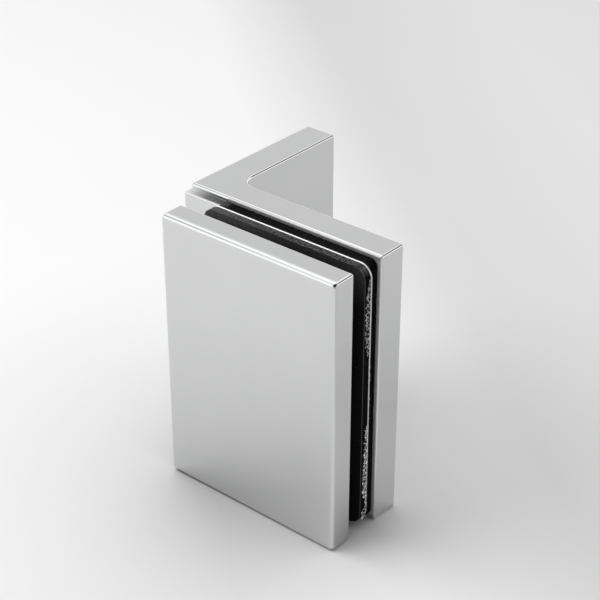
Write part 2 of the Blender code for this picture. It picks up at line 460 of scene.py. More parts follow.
def clamp_plate():
    """The plain front plate, with a bored boss behind it for each screw."""
    high = (plate_high.x, plate_back, plate_high.z)
    plate = box_block("front_plate", plate_low, high)
    share_edges(plate, plate_edge_share)
    ease_edges(plate, plate_edge_round, edge_steps, plate_edge_fullness, shared=True)
    boss_length = plate_high.y - plate_back
    boss = [
        (0, -boss_sink),
        (boss_radius, -boss_sink),
        (boss_radius, boss_length - boss_end_chamfer),
        (boss_radius - boss_end_chamfer, boss_length),
        (0, boss_length),
    ]
    drill_point = screw_hole_radius / tan(drill_point_angle / 2)
    bore = [
        (0, -thread_depth_in_plate - drill_point),
        (screw_hole_radius, -thread_depth_in_plate),
        (screw_hole_radius, boss_length + cut_past),
        (0, boss_length + cut_past),
    ]
    tools = []
    for across, height in screw_axes.values():
        place = (across, plate_back, height)
        tools.append(boolean(plate, turned_solid("boss", boss, place, (0, 1, 0)), "UNION"))
    for across, height in screw_axes.values():
        place = (across, plate_back, height)
        tools.append(boolean(plate, turned_solid("bore", bore, place, (0, 1, 0))))
    settle(plate, *tools)
    ball_corners(plate, plate_low, plate_high, plate_corner_round)
    return polish_normals(plate)


def rounded_outline(low, high, left_corner, right_corner):
    """Outline in X and Z, with one radius for its left corners and one for its right."""
    corners = [
        (high.x, low.z, right_corner, -1, 1, 270),
        (high.x, high.z, right_corner, -1, -1, 0),
        (low.x, high.z, left_corner, 1, -1, 90),
        (low.x, low.z, left_corner, 1, 1, 180),
    ]
    points = []
    for x, z, radius, inward_x, inward_z, start in corners:
        if radius:
            centre_x = x + inward_x * radius
            centre_z = z + inward_z * radius
            points += corner_arc(centre_x, centre_z, radius, start, start + 90, corner_steps)
        else:
            points.append((x, z))
    return points


def screw_ring(radius):
    return [ring(across, height, radius, round_steps) for across, height in screw_axes.values()]


def die_cut_rubber(name, low, high, left_corner, right_corner, hole_radius):
    """A rubber sheet, cut to its outline and punched for the screws, with slightly soft edges."""
    outlines = [rounded_outline(low, high, left_corner, right_corner)] + screw_ring(hole_radius)
    sheet = cut_sheet(name, outlines, low.y, high.y, True)
    ease_edges(sheet, rubber_edge_round, rubber_edge_steps)
    settle(sheet)
    return polish_normals(sheet)


def lining_film():
    """The film, with its outer edge cut at a slant, so that its rim faces a little forward."""
    corner = front_gasket_corner
    outlines = [rounded_outline(film_low, film_high, corner, corner)] + screw_ring(screw_hole_radius)
    sheet = cut_sheet("film_sheet", outlines, film_low.y, film_high.y, True)
    set_back = film_cut_slant * (film_high.y - film_low.y)
    for vertex in sheet.data.vertices:
        x = min(max(vertex.co.x, film_low.x + corner), film_high.x - corner)
        z = min(max(vertex.co.z, film_low.z + corner), film_high.z - corner)
        outward = Vector((vertex.co.x - x, 0, vertex.co.z - z))
        is_front = vertex.co.y < (film_low.y + film_high.y) / 2
        if is_front and outward.length > corner / 2:
            vertex.co -= outward.normalized() * set_back
    return polish_normals(sheet)


def folded_film():
    """The film's free edge, crushed and folded forward over the end of the front gasket."""
    mesh = bpy.data.meshes.new("film_fold")
    strip = bmesh.new()
    grid = []
    for row in range(fold_rows + 1):
        height = fold_low + (fold_high - fold_low) * row / fold_rows
        width = fold_width(height)
        line = []
        for column in range(fold_columns + 1):
            share = column / fold_columns
            crush_place = (share * width * crush_grain, height * crush_grain * crush_grain_up, 3.1)
            crush = noise.noise(Vector(crush_place))
            lift = fold_clearance + fold_depth * (0.5 + crush) * min(share / fold_lift_share, 1)
            lift = min(max(lift, fold_clearance), fold_reach)
            ragged = 1 + ragged_share * noise.noise(Vector((height * ragged_grain, 0.4, 7.7)))
            y = film_low.y + fold_overlap - share * width * ragged
            line.append(strip.verts.new((film_high.x + lift, max(y, front_low.y), height)))
        grid.append(line)
    for first, second in zip(grid, grid[1:]):
        for column in range(fold_columns):
            strip.faces.new((first[column], first[column + 1], second[column + 1], second[column]))
    bmesh.ops.recalc_face_normals(strip, faces=strip.faces)
    strip.to_mesh(mesh)
    strip.free()
    mesh.shade_smooth()
    return add_piece("film_fold", mesh)


def fold_width(height):
    """How far the folded film reaches forward: two broad crushed stretches, and a narrow one between."""
    for (low, low_width), (high, high_width) in zip(fold_widths, fold_widths[1:]):
        if height <= high:
            share = (height - low) / (high - low)
            return low_width + (high_width - low_width) * share
    return fold_widths[-1][1]


def threaded_screw(name, across, height):
    """Countersunk screw with its rolled thread, from the head's top down to the chamfered tip."""
    length = screw_top - screw_tip
    taper = screw_head_radius - screw_radius
    levels = [(screw_head_radius, 0), (screw_head_radius, screw_head_rim)]
    levels.append((screw_radius, screw_head_rim + taper))
    levels.append((screw_radius, thread_start))
    rows = ceil((length - thread_start) / thread_pitch * thread_rows_per_pitch)
    for row in range(1, rows + 1):
        levels.append((None, thread_start + (length - thread_start) * row / rows))
    mesh = bpy.data.meshes.new(name)
    lathe = bmesh.new()
    rings = []
    for radius, depth in levels:
        turned = []
        for step in range(screw_steps):
            angle = 2 * pi * step / screw_steps
            here = radius if radius is not None else thread_radius(depth, angle, length)
            x = across + here * cos(angle)
            z = height + here * sin(angle)
            turned.append(lathe.verts.new((x, screw_top - depth, z)))
        rings.append(turned)
    for first, second in zip(rings, rings[1:]):
        for step in range(screw_steps):
            follow = (step + 1) % screw_steps
            lathe.faces.new((first[step], first[follow], second[follow], second[step]))
    lathe.faces.new(rings[0])
    lathe.faces.new(rings[-1])
    bmesh.ops.recalc_face_normals(lathe, faces=lathe.faces)
    lathe.to_mesh(mesh)
    lathe.free()
    screw = add_piece(name, mesh)
    socket_radius = socket_across_flats / 2 / cos(pi / 6)
    mouth_radius = socket_radius + socket_mouth_chamfer
    mouth = [(0, -cut_past), (mouth_radius + cut_past, -cut_past), (0, mouth_radius)]
    socket = hexagon_socket(socket_radius, across, height)
    cone = turned_solid("socket_mouth", mouth, (across, screw_top, height), (0, -1, 0))
    settle(screw, boolean(screw, socket), boolean(screw, cone))
    return polish_normals(screw)


def thread_radius(depth, angle, length):
    """Radius of a right-hand thread at a depth below the head and an angle round the axis."""
    lead = (depth + thread_pitch * angle / (2 * pi)) / thread_pitch % 1
    flank = abs(lead * 2 - 1)
    profile = min(max((flank - thread_crest_share) / thread_flank_share, 0), 1)
    runout = min((depth - thread_start) / thread_pitch, 1)
    cut = thread_depth * profile * runout
    taper = max(screw_tip_chamfer - (length - depth), 0)
    return max(min(screw_radius - cut, screw_radius - taper), screw_radius - screw_tip_chamfer)


def hexagon_socket(radius, across, height):
    corners = []
    for corner in range(6):
        angle = pi / 3 * corner
        corners.append((across + radius * cos(angle), height + radius * sin(angle)))
    return cut_sheet("hexagon", [corners], screw_top - socket_depth, screw_top + cut_past, True)


def boss_sleeve(name, across, height):
    outer = (sleeve_high.x - sleeve_low.x) / 2
    length = sleeve_high.y - sleeve_low.y
    soft = sleeve_end_round
    profile = [(sleeve_bore_radius, 0)]
    profile += corner_arc(outer - soft, soft, soft, 270, 360, sleeve_end_steps)
    profile += corner_arc(outer - soft, length - soft, soft, 0, 90, sleeve_end_steps)
    profile.append((sleeve_bore_radius, length))
    sleeve = turned_solid(name, profile, (across, sleeve_low.y, height), (0, 1, 0))
    return polish_normals(sleeve)


# Shader parts. A band holds the two values between which a pattern comes in.

noise_band = (0.3, 0.7)
hair_stretch = (1.0, 14.0, 14.0)
hair_turn = 0.6
hair_band = (0.62, 0.72)
haze_band = (0.35, 0.7)
speck_band = (0.08, 0.2)
dust_patch_scale = 260.0
dust_patch_band = (0.45, 0.62)

def node(tree, kind, inputs=None, **settings):
    """Adds a shader node. An input given as a socket is linked, and any other value is set on it."""
    made = tree.nodes.new(kind)
    for key, value in settings.items():
        setattr(made, key, value)
    for key, value in (inputs or {}).items():
        if isinstance(value, bpy.types.NodeSocket):
            tree.links.new(value, made.inputs[key])
        else:
            made.inputs[key].default_value = value
    return made


def scaled(tree, vector, scale):
    return node(tree, "ShaderNodeVectorMath", {0: vector, 1: scale}, operation="MULTIPLY").outputs[0]


def arithmetic(tree, operation, first, second):
    return node(tree, "ShaderNodeMath", {0: first, 1: second}, operation=operation).outputs[0]


def product(tree, first, *others):
    total = first
    for other in others:
        total = arithmetic(tree, "MULTIPLY", total, other)
    return total


def largest(tree, first, *others):
    total = first
    for other in others:
        total = arithmetic(tree, "MAXIMUM", total, other)
    return total


def grey(level):
    return (level, level, level, 1)


def spread(tree, value, low, high, to_low=0.0, to_high=1.0):
    """Maps low to high onto to_low to to_high, and clamps what lies outside."""
    inputs = {"Value": value, "From Min": low, "From Max": high, "To Min": to_low, "To Max": to_high}
    return node(tree, "ShaderNodeMapRange", inputs).outputs[0]


def mottle(tree, vector, scale, detail=2.0, roughness=0.5):
    inputs = {"Vector": vector, "Scale": scale, "Detail": detail, "Roughness": roughness}
    return node(tree, "ShaderNodeTexNoise", inputs).outputs["Fac"]


def blend_colour(tree, factor, first, second):
    made = node(tree, "ShaderNodeMix", data_type="RGBA")
    for key, value in ((0, factor), (6, first), (7, second)):
        if isinstance(value, bpy.types.NodeSocket):
            tree.links.new(value, made.inputs[key])
        else:
            made.inputs[key].default_value = value
    return made.outputs[2]


def effect(name, inputs, outputs):
    """An empty shader group with named sockets, and the nodes that hold them."""
    group = bpy.data.node_groups.new(name, "ShaderNodeTree")
    for label, kind, value in inputs:
        socket = group.interface.new_socket(label, in_out="INPUT", socket_type=kind)
        if value is not None:
            socket.default_value = value
    for label, kind in outputs:
        group.interface.new_socket(label, in_out="OUTPUT", socket_type=kind)
    return group, group.nodes.new("NodeGroupInput"), group.nodes.new("NodeGroupOutput")


def buffing_marks():
    """Hair-thin marks that a polishing mop leaves, and the softer haze of handling."""
    sockets = [
        ("Vector", "NodeSocketVector", None),
        ("Mark Scale", "NodeSocketFloat", 400.0),
        ("Haze Scale", "NodeSocketFloat", 40.0),
    ]
    outputs = [("Marks", "NodeSocketFloat"), ("Haze", "NodeSocketFloat")]
    group, given, made = effect("buffing marks", sockets, outputs)
    turn = {"Vector": scaled(group, given.outputs["Vector"], hair_stretch), "Angle": hair_turn}
    bend = node(group, "ShaderNodeVectorRotate", turn, rotation_type="Y_AXIS")
    hairs = node(
        group,
        "ShaderNodeTexNoise",
        {"Vector": bend.outputs[0], "Scale": given.outputs["Mark Scale"], "Detail": 1.0},
    )
    group.links.new(spread(group, hairs.outputs["Fac"], *hair_band), made.inputs["Marks"])
    haze = node(
        group,
        "ShaderNodeTexNoise",
        {"Vector": given.outputs["Vector"], "Scale": given.outputs["Haze Scale"], "Detail": 4.0},
    )
    group.links.new(spread(group, haze.outputs["Fac"], *haze_band), made.inputs["Haze"])
    return group


def settled_dust():
    """Pale specks and lint on a dark or matt surface."""
    sockets = [
        ("Vector", "NodeSocketVector", None),
        ("Speck Scale", "NodeSocketFloat", 2500.0),
        ("Amount", "NodeSocketFloat", 0.5),
    ]
    group, given, made = effect("settled dust", sockets, [("Specks", "NodeSocketFloat")])
    inputs = {"Vector": given.outputs["Vector"], "Scale": given.outputs["Speck Scale"], "Randomness": 1.0}
    cells = node(group, "ShaderNodeTexVoronoi", inputs, feature="F1")
    specks = spread(group, cells.outputs["Distance"], *speck_band, 1.0, 0.0)
    patches = mottle(group, given.outputs["Vector"], dust_patch_scale, 3.0)
    patches = spread(group, patches, *dust_patch_band)
    dust = product(group, specks, patches, given.outputs["Amount"])
    group.links.new(dust, made.inputs["Specks"])
    return group


def fine_grain():
    """The tight, even grain of moulded or calendered plastic and rubber."""
    sockets = [("Vector", "NodeSocketVector", None), ("Scale", "NodeSocketFloat", 3000.0)]
    group, given, made = effect("fine grain", sockets, [("Height", "NodeSocketFloat")])
    inputs = {"Vector": given.outputs["Vector"], "Scale": given.outputs["Scale"]}
    inputs.update({"Detail": 3.0, "Roughness": 0.6})
    grain = node(group, "ShaderNodeTexNoise", inputs)
    group.links.new(grain.outputs["Fac"], made.inputs["Height"])
    return group


def use_effect(tree, group, vector, **values):
    placed = node(tree, "ShaderNodeGroup", node_tree=group)
    tree.links.new(vector, placed.inputs["Vector"])
    for label, value in values.items():
        placed.inputs[label.replace("_", " ")].default_value = value
    return placed.outputs


def new_finish(name):
    material = bpy.data.materials.new(name)
    material.use_nodes = True
    tree = material.node_tree
    shader = tree.nodes["Principled BSDF"]
    place = node(tree, "ShaderNodeTexCoord").outputs["Object"]
    return material, tree, shader, place


def bump(tree, shader, height, distance):
    inputs = {"Height": height, "Distance": distance, "Strength": 1.0}
    tree.links.new(node(tree, "ShaderNodeBump", inputs).outputs["Normal"], shader.inputs["Normal"])


# Finishes. A tone is a linear colour, and a roughness pair holds the cleanest and the haziest.

chrome_clean_tone = (0.660, 0.662, 0.667, 1)
chrome_hazy_tone = (0.645, 0.647, 0.653, 1)
chrome_roughness = (0.035, 0.07)
chrome_mark_roughness = 0.03
chrome_ripple_scale = 120.0
chrome_ripple = 0.004 * MM
# Painted shade in the groove over the step: its dark tone, a faint mottle in it, and where along X it
# deepens.
painted_groove_shade_tone = (0.02, 0.02, 0.021, 1)
groove_roughness = 0.25
groove_shade_mottle_scale = 900.0
groove_shade_mottle_least = 0.92
groove_shade_start = 1.2 * MM
groove_shade_bend = 7.8 * MM
groove_shade_end = 15.2 * MM
groove_bend_shade = 0.82
satin_roughness = 0.65
satin_fade = 0.4 * MM
groove_at_leg = (-0.2 * MM, 0.1 * MM)
groove_at_front = (0.1 * MM, 0.5 * MM)
groove_at_step = (-0.3 * MM, -0.05 * MM)
satin_at_leg = (0.02 * MM, 0.3 * MM)
satin_at_step = (-0.3 * MM, -0.2 * MM)
# The film's painted light: its cut edge is painted white near the top as a highlight, and grey lower down as
# shade.
film_shade_low = -40 * MM
film_shade_high = 26 * MM
film_highlight_hazy_tone = (0.97, 0.97, 0.98, 1)
film_highlight_dull_tone = (0.88, 0.88, 0.89, 1)
film_shade_tone = (0.15, 0.15, 0.155, 1)
film_coat_ior = 2.5
film_roughness = (0.06, 0.2)
film_opacity = (0.9, 1.0)
crease_scale = 850.0
crease_sway_scale = 1100.0
crease_sway = (0.5 * MM, 0.5 * MM, 0.5 * MM)
crease_depth = 0.1 * MM
crease_roughness = (0.1, 0.35)
crease_opacity = (0.06, 1.0)
crease_half_width = (0.05, 0.13)
# The creases' white changes with height as painted light.
crease_low_tone = 0.97
crease_high_tone = 0.5
crease_low = -10 * MM
crease_high = 14 * MM
between_creases_tone = 0.1
rubber_black = 0.0015
rubber_shine = 0.02
rubber_roughness = (0.5, 0.7)
rubber_streak_grain = (1000.0, 1300.0, 1.0)
rubber_streak_band = (0.38, 0.66)
rubber_smudge_grain = (500.0, 500.0, 900.0)
rubber_smudge_band = (0.3, 0.75)
rubber_smudge_least = 0.35
rubber_grain_depth = 0.05 * MM
# Painted light on the rubber: its fronts are paler near the top, and its front right rim carries a painted
# highlight.
painted_front_light_range = (0.19, 0.72)
painted_front_light_heights = (30 * MM, 42 * MM)
painted_front_light_least = 0.3
upward_facing = (0.3, 0.8)
frontward_facing = (-0.5, -0.9)
painted_top_light_share = 0.68
painted_rim_highlight_facing = (1.15, 1.4)
steel_clean_tone = (0.56, 0.56, 0.55, 1)
steel_hazy_tone = (0.46, 0.46, 0.455, 1)
steel_roughness = (0.2, 0.34)
steel_mark_depth = 0.004 * MM
nylon_pale_tone = (0.78, 0.775, 0.74, 1)
nylon_dull_tone = (0.7, 0.695, 0.66, 1)
nylon_dust_tone = (0.4, 0.39, 0.37, 1)
nylon_roughness = (0.38, 0.52)
nylon_glow = 0.15
nylon_glow_reach = 0.5 * MM
nylon_grain_depth = 0.02 * MM
# How pale the rubber's dust and painted light get, where along X the painted light fades out, and how strong
# the streaks are.
sheet_rubber_look = {"pale": 0.2, "painted_light_from": 12 * MM, "painted_light_to": 45 * MM, "streak_share": 0.6}
dense_rubber_look = {"pale": 0.15, "painted_light_from": 14.6 * MM, "painted_light_to": 17.6 * MM, "streak_share": 0.04}


def past(plane, margins):
    """Where a change past a plane starts and where it is full."""
    return plane + margins[0], plane + margins[1]


def in_groove(tree, y, z):
    """1 in the groove between the bracket's top or bottom edge and the step, 0 elsewhere."""
    before = spread(tree, y, *past(glass_leg_front, groove_at_leg), 1.0, 0.0)
    behind = spread(tree, y, *past(step_front, groove_at_front))
    height = arithmetic(tree, "ABSOLUTE", z, 0.0)
    over = spread(tree, height, *past(bracket_high.z - step_setback, groove_at_step))
    return product(tree, before, behind, over)


def on_leg_front(tree, x, y):
    """1 on the glass leg's front beside the step, 0 elsewhere."""
    covered = spread(tree, y, *past(glass_leg_front, satin_at_leg), 1.0, 0.0)
    beside_step = spread(tree, x, step_width, step_width + satin_fade)
    not_step = spread(tree, y, *past(glass_leg_front, satin_at_step))
    return product(tree, covered, beside_step, not_step)


def polished_chrome(marks):
    """Mirror chrome plate: neutral grey, with a breath of haze and barely visible mop marks.

    In the groove over the step the plate is rougher, and its colour is darkened with painted shade that
    deepens towards the gasket. The glass leg's front, which the rubber covers, is left satin.
    """
    material, tree, shader, place = new_finish("mirror chrome plate")
    shader.inputs["Metallic"].default_value = 1.0
    seen = use_effect(tree, marks, place, Mark_Scale=260.0, Haze_Scale=55.0)
    colour = blend_colour(tree, seen["Haze"], chrome_clean_tone, chrome_hazy_tone)
    split = node(tree, "ShaderNodeSeparateXYZ", {0: place})
    x, y, z = [split.outputs[axis] for axis in "XYZ"]
    # Painted shade: in the groove the colour darkens along X towards the gasket, mottled a little.
    near_end = spread(tree, x, groove_shade_start, groove_shade_bend, 0.0, groove_bend_shade)
    far_end = spread(tree, x, groove_shade_bend, groove_shade_end, 0.0, 1 - groove_bend_shade)
    shade_along_groove = arithmetic(tree, "ADD", near_end, far_end)
    groove = in_groove(tree, y, z)
    shade_mottle = spread(tree, mottle(tree, place, groove_shade_mottle_scale, 3.0), *noise_band, groove_shade_mottle_least, 1.0)
    colour = blend_colour(tree, product(tree, groove, shade_along_groove, shade_mottle), colour, painted_groove_shade_tone)
    tree.links.new(colour, shader.inputs["Base Color"])
    gloss = spread(tree, seen["Haze"], 0.0, 1.0, *chrome_roughness)
    marked = product(tree, seen["Marks"], chrome_mark_roughness)
    satin = product(tree, on_leg_front(tree, x, y), satin_roughness)
    dull = largest(tree, product(tree, groove, groove_roughness), satin)
    rough = arithmetic(tree, "ADD", arithmetic(tree, "ADD", gloss, marked), dull)
    tree.links.new(rough, shader.inputs["Roughness"])
    bump(tree, shader, mottle(tree, place, chrome_ripple_scale, 1.0), chrome_ripple)
    return material


def black_rubber(name, dust, grain, pale, painted_light_from, painted_light_to, streak_share):
    """Black sheet rubber: matt, finely grained, dust-specked and streaked, with painted light on its tops,
    fronts and rim.
    """
    material, tree, shader, place = new_finish(name)
    split = node(tree, "ShaderNodeSeparateXYZ", {0: place})
    normal = node(tree, "ShaderNodeNewGeometry").outputs["Normal"]
    facing = node(tree, "ShaderNodeSeparateXYZ", {0: normal})
    upward = spread(tree, facing.outputs["Z"], *upward_facing)
    frontward = spread(tree, facing.outputs["Y"], *frontward_facing)
    # Painted highlight along the front right rim.
    front_right = arithmetic(tree, "SUBTRACT", facing.outputs["X"], facing.outputs["Y"])
    rim = spread(tree, front_right, *painted_rim_highlight_facing)
    # Painted light: tops and fronts are paler towards the wall end, mottled by smudges.
    painted_light_towards_wall = spread(tree, split.outputs["X"], painted_light_from, painted_light_to, 1.0, 0.0)
    along = arithmetic(tree, "ADD", split.outputs["X"], split.outputs["Z"])
    cut_line = node(tree, "ShaderNodeCombineXYZ", {0: along, 1: split.outputs["Y"]}).outputs[0]
    streaks = mottle(tree, scaled(tree, cut_line, rubber_streak_grain), 1.0, 4.0, 0.75)
    # Streaks on the tops: partly real marks along the cut, partly painted light on the upward faces.
    streaked = spread(tree, streaks, *rubber_streak_band, 0.0, streak_share)
    streaked = product(tree, streaked, upward)
    blots = mottle(tree, scaled(tree, place, rubber_smudge_grain), 1.0, 4.0, 0.7)
    smudges_and_painted_light = spread(tree, blots, *rubber_smudge_band, rubber_smudge_least, 1.0)
    smudges_and_painted_light = product(tree, smudges_and_painted_light, painted_light_towards_wall)
    # Painted light and shade on the fronts: paler near the top, darker low down.
    near_top = spread(tree, split.outputs["Z"], *painted_front_light_heights, painted_front_light_least, 1.0)
    painted_front_light = spread(tree, smudges_and_painted_light, 0.0, 1.0, *painted_front_light_range)
    painted_front_light = product(tree, frontward, painted_front_light, near_top)
    # Painted light on the tops.
    painted_top_light = product(tree, smudges_and_painted_light, painted_top_light_share, upward)
    specks = use_effect(tree, dust, place, Speck_Scale=1500.0, Amount=0.6)["Specks"]
    # Real dust specks, and painted light on the tops, fronts and rim.
    dust_and_painted_light = largest(tree, painted_front_light, painted_top_light, streaked, rim, specks)
    tone = blend_colour(tree, dust_and_painted_light, grey(rubber_black), grey(pale))
    tree.links.new(tone, shader.inputs["Base Color"])
    tree.links.new(spread(tree, streaks, *noise_band, *rubber_roughness), shader.inputs["Roughness"])
    shader.inputs["Specular IOR Level"].default_value = rubber_shine
    height = use_effect(tree, grain, place, Scale=2200.0)["Height"]
    bump(tree, shader, arithmetic(tree, "ADD", height, streaks), rubber_grain_depth)
    return material


def clear_film(marks):
    """Thin clear film with a little haze, whose cut edge is painted bright near the top and painted grey
    below.
    """
    material, tree, shader, place = new_finish("thin clear film")
    seen = use_effect(tree, marks, place, Mark_Scale=500.0, Haze_Scale=300.0)
    colour = blend_colour(tree, seen["Haze"], film_highlight_hazy_tone, film_highlight_dull_tone)
    height = node(tree, "ShaderNodeSeparateXYZ", {0: place}).outputs["Z"]
    # Painted highlight and shade: white near the top, grey towards the bottom, with haze mixed into the
    # white.
    shaded_below = spread(tree, height, film_shade_low, film_shade_high, 1.0, 0.0)
    tree.links.new(blend_colour(tree, shaded_below, colour, film_shade_tone), shader.inputs["Base Color"])
    tree.links.new(spread(tree, seen["Haze"], 0.0, 1.0, *film_roughness), shader.inputs["Roughness"])
    tree.links.new(spread(tree, seen["Haze"], 0.0, 1.0, *film_opacity), shader.inputs["Alpha"])
    shader.inputs["Coat Weight"].default_value = 1.0
    shader.inputs["Coat IOR"].default_value = film_coat_ior
    return material


def crinkled_film(marks):
    """The same film where it is crushed: clear between its creases, and white along them."""
    material, tree, shader, place = new_finish("crushed clear film")
    seen = use_effect(tree, marks, place, Mark_Scale=500.0, Haze_Scale=900.0)
    sway = node(tree, "ShaderNodeTexNoise", {"Vector": place, "Scale": crease_sway_scale}).outputs["Color"]
    moved = {0: sway, 1: crease_sway, 2: place}
    bent = node(tree, "ShaderNodeVectorMath", moved, operation="MULTIPLY_ADD").outputs[0]
    cells = {"Vector": bent, "Scale": crease_scale}
    creases = node(tree, "ShaderNodeTexVoronoi", cells, feature="DISTANCE_TO_EDGE").outputs["Distance"]
    line = spread(tree, creases, *crease_half_width, 1.0, 0.0)
    line = product(tree, line, spread(tree, seen["Haze"], 0.0, 0.7, 0.5, 1.0))
    height = node(tree, "ShaderNodeSeparateXYZ", {0: place}).outputs["Z"]
    # Painted light: the creases are whiter low down and greyer higher up. The whitening along them is real.
    above = spread(tree, height, crease_low, crease_high)
    white = blend_colour(tree, above, grey(crease_low_tone), grey(crease_high_tone))
    colour = blend_colour(tree, line, grey(between_creases_tone), white)
    tree.links.new(colour, shader.inputs["Base Color"])
    tree.links.new(spread(tree, line, 0.0, 1.0, *crease_roughness), shader.inputs["Roughness"])
    tree.links.new(spread(tree, line, 0.0, 1.0, *crease_opacity), shader.inputs["Alpha"])
    bump(tree, shader, creases, crease_depth)
    return material


def screw_steel(marks):
    """Stainless steel, a little duller than the chrome, with turning marks."""
    material, tree, shader, place = new_finish("stainless screw steel")
    shader.inputs["Metallic"].default_value = 1.0
    seen = use_effect(tree, marks, place, Mark_Scale=900.0, Haze_Scale=300.0)
    colour = blend_colour(tree, seen["Haze"], steel_clean_tone, steel_hazy_tone)
    tree.links.new(colour, shader.inputs["Base Color"])
    gloss = spread(tree, seen["Haze"], 0.0, 1.0, *steel_roughness)
    tree.links.new(gloss, shader.inputs["Roughness"])
    bump(tree, shader, seen["Marks"], steel_mark_depth)
    return material


def white_nylon(dust, grain):
    material, tree, shader, place = new_finish("natural nylon")
    clouds = mottle(tree, place, 500.0, 3.0)
    specks = use_effect(tree, dust, place, Speck_Scale=1200.0, Amount=0.25)["Specks"]
    base = blend_colour(tree, clouds, nylon_pale_tone, nylon_dull_tone)
    tree.links.new(blend_colour(tree, specks, base, nylon_dust_tone), shader.inputs["Base Color"])
    tree.links.new(spread(tree, clouds, *noise_band, *nylon_roughness), shader.inputs["Roughness"])
    shader.inputs["Subsurface Weight"].default_value = nylon_glow
    shader.inputs["Subsurface Scale"].default_value = nylon_glow_reach
    bump(tree, shader, use_effect(tree, grain, place, Scale=2600.0)["Height"], nylon_grain_depth)
    return material


# Studio. Across runs over the table from the front left to the back right, in metres.

table_grey = 0.84
table_grey_spread = 0.02
table_reach = 4.0
across_axis = (0.642, 0.767, 0.0)
# Painted shadow on the table: how far and how deep it darkens near the clamp, and the darker band behind it
# to the right.
shade_reach = 0.12
shade_depth_front = 0.64
shade_depth_right = 0.065
shade_turn = 0.02
fade_start = 0.03
fade_end = 0.085
fade_to = 0.79
lift_start = 0.10
lift_end = 0.18
lift_to = 1.105
key_size = 0.8
key_place = (-0.40, -0.32, 0.76)
key_watts = 4.25
camera_lens = 96.05
camera_place = (0.29832, -0.33312, 0.25376)
camera_aim = (0.04197, -0.027, 0.02061)

# Parts of the light tent: where each is aimed, the cosines of the angles from there at which it starts and
# is full, and its brightness. Heights, Y and X are those of a direction of length 1.
back_wall_aim = (-0.55, 0.66, 0.0)
back_wall_edge = (-0.6, 0.8)
back_wall_level = 0.83
front_wall_level = 0.55
roof_aim = (-0.50, 0.10, 0.86)
roof_edge = (0.775, 0.97)
roof_level = 1.7
back_strip_aim = (-0.24, 0.66, 0.71)
back_strip_edge = (0.972, 0.988)
back_strip_level = 1.4
skirt_back_aim = (0.60, 0.80, 0.0)
skirt_back_edge = (0.5, 0.7)
skirt_back_heights = (0.22, 0.40)
skirt_front_aim = (-0.60, -0.75, 0.0)
skirt_front_edge = (0.6, 0.8)
skirt_front_rise = 0.45
skirt_softness = 0.04
skirt_level = 1.5
front_gap_aim = (-0.78, -0.08, 0.62)
front_gap_edge = (0.93, 0.975)
front_gap_level = 0.6
back_gap_y = 0.66
back_gap_half_width = (0.07, 0.10)
back_gap_x = (0.1, 0.2)
back_gap_foot = (0.40, 0.44)
back_gap_head = (0.75, 0.78)
back_gap_level = 0.05
camera_side_aim = (0.554, -0.662, 0.504)
camera_side_edge = (0.50, 0.72)
camera_side_level = 0.5
screen_aim = (0.593, -0.485, 0.643)
screen_edge = (0.84, 0.90)
screen_foot = (0.38, 0.46)
screen_level = 0.03


def studio_table():
    """A wide pale table with painted shadow: darker near the clamp, and a little darker in a band behind it
    to the right.
    """
    mesh = bpy.data.meshes.new("table")
    disc = bmesh.new()
    bmesh.ops.create_circle(disc, cap_ends=True, segments=96, radius=table_reach)
    disc.to_mesh(mesh)
    disc.free()
    table = add_piece("table", mesh)
    table.location = (0, 0, cad_low.z)
    material = bpy.data.materials.new("pale table")
    material.use_nodes = True
    tree = material.node_tree
    tree.nodes.clear()
    place = node(tree, "ShaderNodeTexCoord").outputs["Object"]
    cloud = mottle(tree, place, 3.0, 2.0)
    # Painted shadow: the table's colour darkens where the clamp hides the room, and in a band behind it.
    near = node(tree, "ShaderNodeAmbientOcclusion", {"Distance": shade_reach}, samples=12).outputs["AO"]
    across = node(tree, "ShaderNodeVectorMath", {0: place, 1: across_axis}, operation="DOT_PRODUCT")
    across = across.outputs["Value"]
    depth = spread(tree, across, -shade_turn, shade_turn, shade_depth_front, shade_depth_right)
    painted_contact_shadow = arithmetic(tree, "POWER", near, depth)
    base = spread(tree, cloud, *noise_band, table_grey, table_grey - table_grey_spread)
    fade = spread(tree, across, fade_start, fade_end, 1.0, fade_to)
    fade = product(tree, fade, spread(tree, across, lift_start, lift_end, 1.0, lift_to))
    level = product(tree, base, painted_contact_shadow, fade)
    tone = node(tree, "ShaderNodeCombineColor", {0: level, 1: level, 2: level}).outputs[0]
    matt = node(tree, "ShaderNodeBsdfDiffuse", {"Color": tone}).outputs[0]
    node(tree, "ShaderNodeOutputMaterial", {"Surface": matt})
    mesh.materials.append(material)


